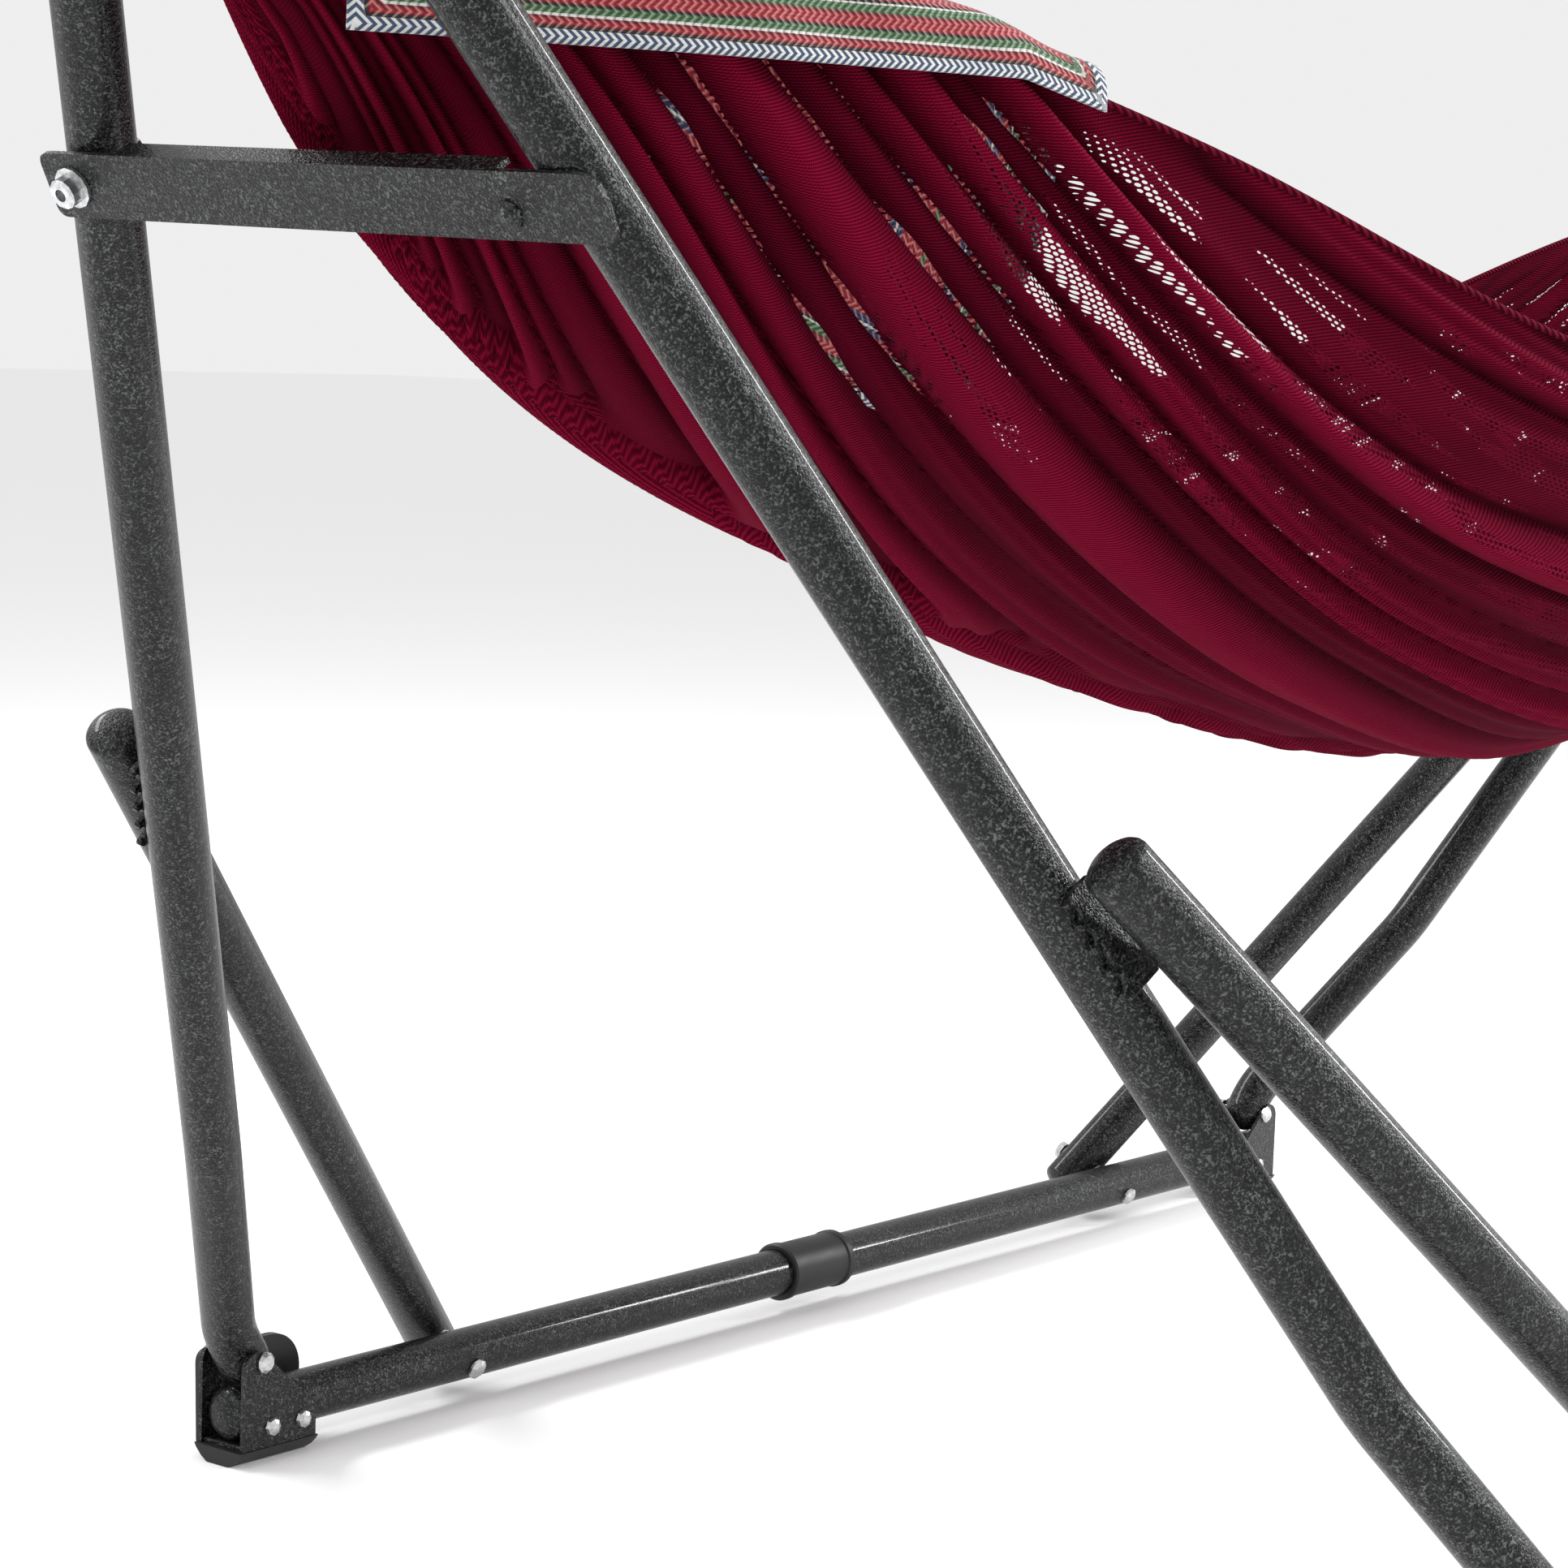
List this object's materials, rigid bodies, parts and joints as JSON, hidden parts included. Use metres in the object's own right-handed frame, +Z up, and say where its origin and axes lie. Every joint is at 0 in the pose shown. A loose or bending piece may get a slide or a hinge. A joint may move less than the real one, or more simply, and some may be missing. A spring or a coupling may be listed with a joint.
{
  "type": "hammock on folding stand",
  "caption": "Folding tubular steel hammock stand: two leaning V frames with struts and braces on base rails, holding a gathered cotton hammock with a striped throw.",
  "frame": {"origin": "on the floor under the middle of the stand", "axes": "+X along the stand, +Y across it towards the bolted side of the braces, +Z up"},
  "size_m": [2.448, 1.1124, 1.0935],
  "materials": {
    "powder": "hammered black powder coat",
    "plastic": "matte",
    "zinc": "zinc plated",
    "cotton": "burgundy open-weave cotton",
    "serape": "striped woven throw",
    "cord": "twisted cotton cord"
  },
  "bodies": {
    "base": {"rail_left_far": "powder", "rail_right_far": "powder", "rail_collar_far": "plastic", "rail_spigot_far": "zinc", "rail_left_near": "powder", "rail_right_near": "powder", "rail_collar_near": "plastic", "rail_spigot_near": "zinc", "rail_plug_left_far": "plastic", "foot_bracket_left_far": "powder", "foot_pad_left_far": "plastic", "foot_bolt_left_far": "zinc", "foot_screw_left_far_1": "zinc", "foot_screw_left_far_2": "zinc", "strut_bolt_left_far": "zinc", "rail_plug_left_near": "plastic", "foot_bracket_left_near": "powder", "foot_pad_left_near": "plastic", "foot_bolt_left_near": "zinc", "foot_screw_left_near_1": "zinc", "foot_screw_left_near_2": "zinc", "strut_bolt_left_near": "zinc", "rail_plug_right_far": "plastic", "foot_bracket_right_far": "powder", "foot_pad_right_far": "plastic", "foot_bolt_right_far": "zinc", "foot_screw_right_far_1": "zinc", "foot_screw_right_far_2": "zinc", "strut_bolt_right_far": "zinc", "rail_plug_right_near": "plastic", "foot_bracket_right_near": "powder", "foot_pad_right_near": "plastic", "foot_bolt_right_near": "zinc", "foot_screw_right_near_1": "zinc", "foot_screw_right_near_2": "zinc", "strut_bolt_right_near": "zinc"},
    "left_arms": {"arm_left_far": "powder", "notch_bracket_left_far": "powder", "arm_left_near": "powder", "notch_bracket_left_near": "powder", "head_left": "powder", "brace_left": "powder", "brace_bolt_left": "zinc"},
    "right_arms": {"arm_right_far": "powder", "notch_bracket_right_far": "powder", "arm_right_near": "powder", "notch_bracket_right_near": "powder", "head_right": "powder", "brace_right": "powder", "brace_bolt_right": "zinc"},
    "strut_left_far": {"strut_left_far": "powder"},
    "strut_left_near": {"strut_left_near": "powder"},
    "strut_right_far": {"strut_right_far": "powder"},
    "strut_right_near": {"strut_right_near": "powder"},
    "hammock": {"hammock": "cotton", "throw": "serape", "carabiner_left": "zinc", "carabiner_right": "zinc", "end_cord_left": "cord", "end_cord_right": "cord"}
  },
  "joints": [
    {"name": "left_fold", "type": "hinge", "parent": "base", "child": "left_arms", "pos_m": [-0.616, 0, 0.0685], "axis": [0, 1, 0], "range_deg": [0, 116], "deforming": ["hammock", "throw", "end_cord_left", "end_cord_right"]},
    {"name": "right_fold", "type": "hinge", "parent": "base", "child": "right_arms", "pos_m": [0.616, 0, 0.0685], "axis": [0, -1, 0], "range_deg": [0, 84], "deforming": ["hammock", "throw", "end_cord_left", "end_cord_right"]},
    {"name": "strut_left_far_swing", "type": "hinge", "parent": "base", "child": "strut_left_far", "pos_m": [-0.407, 0.53222, 0.04606], "axis": [0, 0.925, 0.38], "range_deg": [0, 130.9]},
    {"name": "strut_left_near_swing", "type": "hinge", "parent": "base", "child": "strut_left_near", "pos_m": [-0.407, -0.53222, 0.04606], "axis": [0, 0.925, -0.38], "range_deg": [0, 130.9]},
    {"name": "strut_right_far_swing", "type": "hinge", "parent": "base", "child": "strut_right_far", "pos_m": [0.407, 0.53222, 0.04606], "axis": [0, -0.925, -0.38], "range_deg": [0, 95.1]},
    {"name": "strut_right_near_swing", "type": "hinge", "parent": "base", "child": "strut_right_near", "pos_m": [0.407, -0.53222, 0.04606], "axis": [0, -0.925, 0.38], "range_deg": [0, 95.1]},
    {"name": "hammock_swing", "type": "hinge", "parent": "base", "child": "hammock", "pos_m": [0, 0, 1.033], "axis": [1, 0, 0], "range_deg": [-15, 15]}
  ],
  "couplings": [
    {"joint": "strut_left_far_swing", "follows": "left_fold", "ratio": 1.12},
    {"joint": "strut_left_near_swing", "follows": "left_fold", "ratio": 1.12},
    {"joint": "strut_right_far_swing", "follows": "right_fold", "ratio": 1.12},
    {"joint": "strut_right_near_swing", "follows": "right_fold", "ratio": 1.12}
  ]
}
